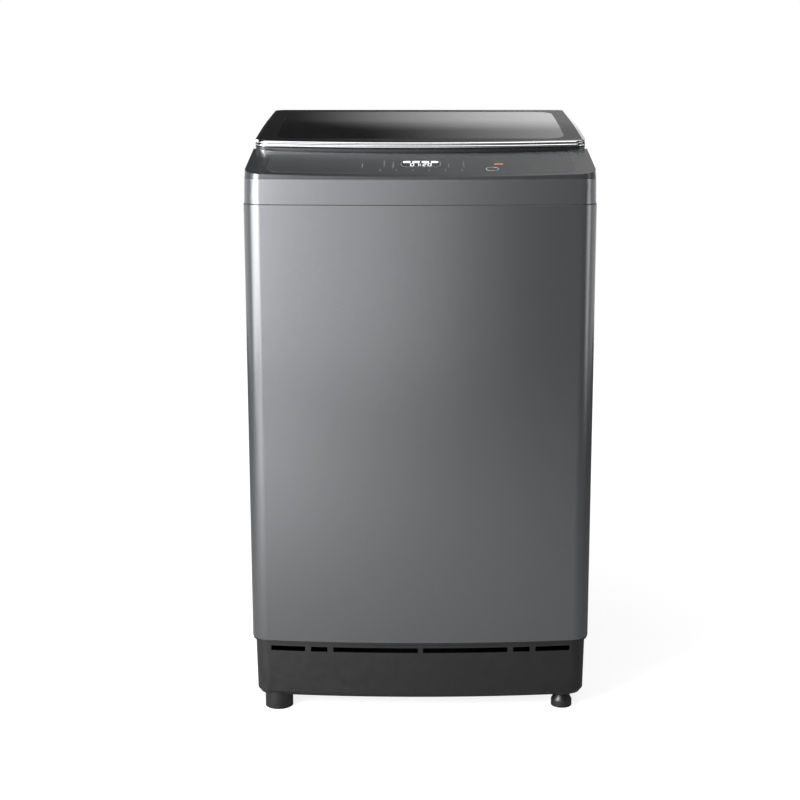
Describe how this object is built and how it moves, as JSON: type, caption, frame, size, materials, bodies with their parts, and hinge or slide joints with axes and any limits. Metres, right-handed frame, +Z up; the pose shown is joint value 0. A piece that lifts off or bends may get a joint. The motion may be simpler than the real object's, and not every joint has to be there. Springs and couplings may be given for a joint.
{
  "type": "top load washing machine",
  "caption": "Top-load washing machine with hinged glass lid, sloped front console, sprung tub, spinning basket and pulsator, vented base and feet.",
  "frame": {"origin": "on the floor, at the bottom centre of the machine's outer box", "axes": "+X to the machine's right seen from the front, +Y to its back, +Z up"},
  "size_m": [0.59, 0.615, 1.031],
  "materials": {
    "cabinet_paint": "metallic grey paint, satin",
    "band_paint": "metallic grey painted plastic",
    "galvanised": "galvanised sheet",
    "zinc_hardware": "zinc plated",
    "dark_plastic": "dark grey moulded ABS",
    "black_plastic": "black moulded polypropylene",
    "overlay_film": "printed console film, satin",
    "display_lens": "smoked display lens",
    "circuit_board": "green circuit board",
    "lid_plastic": "black moulded ABS",
    "smoked_glass": "tinted tempered glass",
    "chrome_trim": "bright plated trim",
    "white_plastic": "white moulded plastic",
    "grey_plastic": "grey moulded polypropylene",
    "stainless": "stainless steel",
    "rubber_black": "moulded rubber",
    "spring_steel": "oiled spring steel",
    "aluminium_cast": "cast aluminium",
    "motor_enamel": "black enamel"
  },
  "bodies": {
    "cabinet": {"cabinet_shell": "cabinet_paint", "rear_panel": "galvanised", "rear_access_cover": "black_plastic", "rear_panel_screws": "zinc_hardware", "access_cover_screws": "zinc_hardware", "top_cover": "dark_plastic", "cover_band": "band_paint", "control_overlay": "overlay_film", "display_window": "display_lens", "control_board_tray": "grey_plastic", "control_board": "circuit_board", "lid_dampers": "black_plastic", "drawer_housing": "white_plastic", "inlet_valve": "white_plastic", "base_skirt": "black_plastic", "base_tray": "black_plastic", "fixed_feet": "black_plastic", "foot_lock_nut": "zinc_hardware", "drain_outlet": "grey_plastic", "drain_hose": "rubber_black", "mains_lead_gland": "black_plastic", "suspension_brackets": "galvanised", "rod_ball_seats": "white_plastic", "suspension_rods": "zinc_hardware", "suspension_springs": "spring_steel"},
    "lid": {"lid_frame": "lid_plastic", "lid_glass": "smoked_glass", "lid_front_trim": "chrome_trim", "lid_side_trims": "chrome_trim", "lid_rear_trim": "lid_plastic", "lid_hinge_pins": "zinc_hardware", "lid_bumpers": "rubber_black"},
    "drawer": {"detergent_drawer": "white_plastic"},
    "foot": {"levelling_foot": "black_plastic"},
    "tub": {"outer_tub": "grey_plastic", "tub_ring": "grey_plastic", "tub_support_plate": "galvanised", "drive_housing": "aluminium_cast", "shaft_bearings": "stainless", "shaft_seal": "rubber_black", "drive_motor": "motor_enamel", "drive_belt": "rubber_black", "drain_valve": "grey_plastic", "drain_actuator": "grey_plastic", "brake_lever_pin": "zinc_hardware", "suspension_sleeves": "white_plastic"},
    "basket": {"wash_basket": "stainless", "basket_base": "white_plastic", "balance_ring": "white_plastic", "lint_filters": "white_plastic", "spin_shaft": "stainless"},
    "agitator": {"pulsator": "white_plastic", "pulsator_cap": "white_plastic", "wash_shaft": "stainless"},
    "clutch": {"clutch_pulley": "aluminium_cast"},
    "rotor": {"motor_pulley": "aluminium_cast"},
    "brake": {"brake_lever": "galvanised"}
  },
  "joints": [
    {"name": "lid_hinge", "type": "hinge", "parent": "cabinet", "child": "lid", "pos_m": [0, 0.2415, 1.02], "axis": [-1, 0, 0], "range_deg": [0, 98]},
    {"name": "drawer_slide", "type": "slide", "parent": "cabinet", "child": "drawer", "axis": [0, -1, 0], "range_m": [0, 0.08]},
    {"name": "foot_thread", "type": "hinge", "parent": "cabinet", "child": "foot", "pos_m": [0.251, -0.2575, 0.014], "axis": [0, 0, 1], "continuous": true},
    {"name": "tub_bounce", "type": "slide", "parent": "cabinet", "child": "tub", "axis": [0, 0, 1], "range_m": [-0.025, 0.02], "stiffness_N_per_m": 30000, "springref_m": 0.00994, "deforming": ["suspension_springs", "drain_hose"]},
    {"name": "basket_spin", "type": "hinge", "parent": "tub", "child": "basket", "pos_m": [0, -0.006, 0.303], "axis": [0, 0, 1], "continuous": true},
    {"name": "agitator_spin", "type": "hinge", "parent": "basket", "child": "agitator", "pos_m": [0, -0.006, 0.332], "axis": [0, 0, 1], "continuous": true},
    {"name": "clutch_spin", "type": "hinge", "parent": "tub", "child": "clutch", "pos_m": [0, -0.006, 0.177], "axis": [0, 0, 1], "continuous": true},
    {"name": "rotor_spin", "type": "hinge", "parent": "tub", "child": "rotor", "pos_m": [0.165, -0.006, 0.177], "axis": [0, 0, 1], "continuous": true},
    {"name": "brake_swing", "type": "hinge", "parent": "tub", "child": "brake", "pos_m": [0, 0.124, 0.248], "axis": [0, 0, 1], "range_deg": [-10, 10], "stiffness_Nm_per_rad": 0.5}
  ],
  "couplings": [
    {"joint": "rotor_spin", "follows": "clutch_spin", "ratio": 3.2}
  ]
}
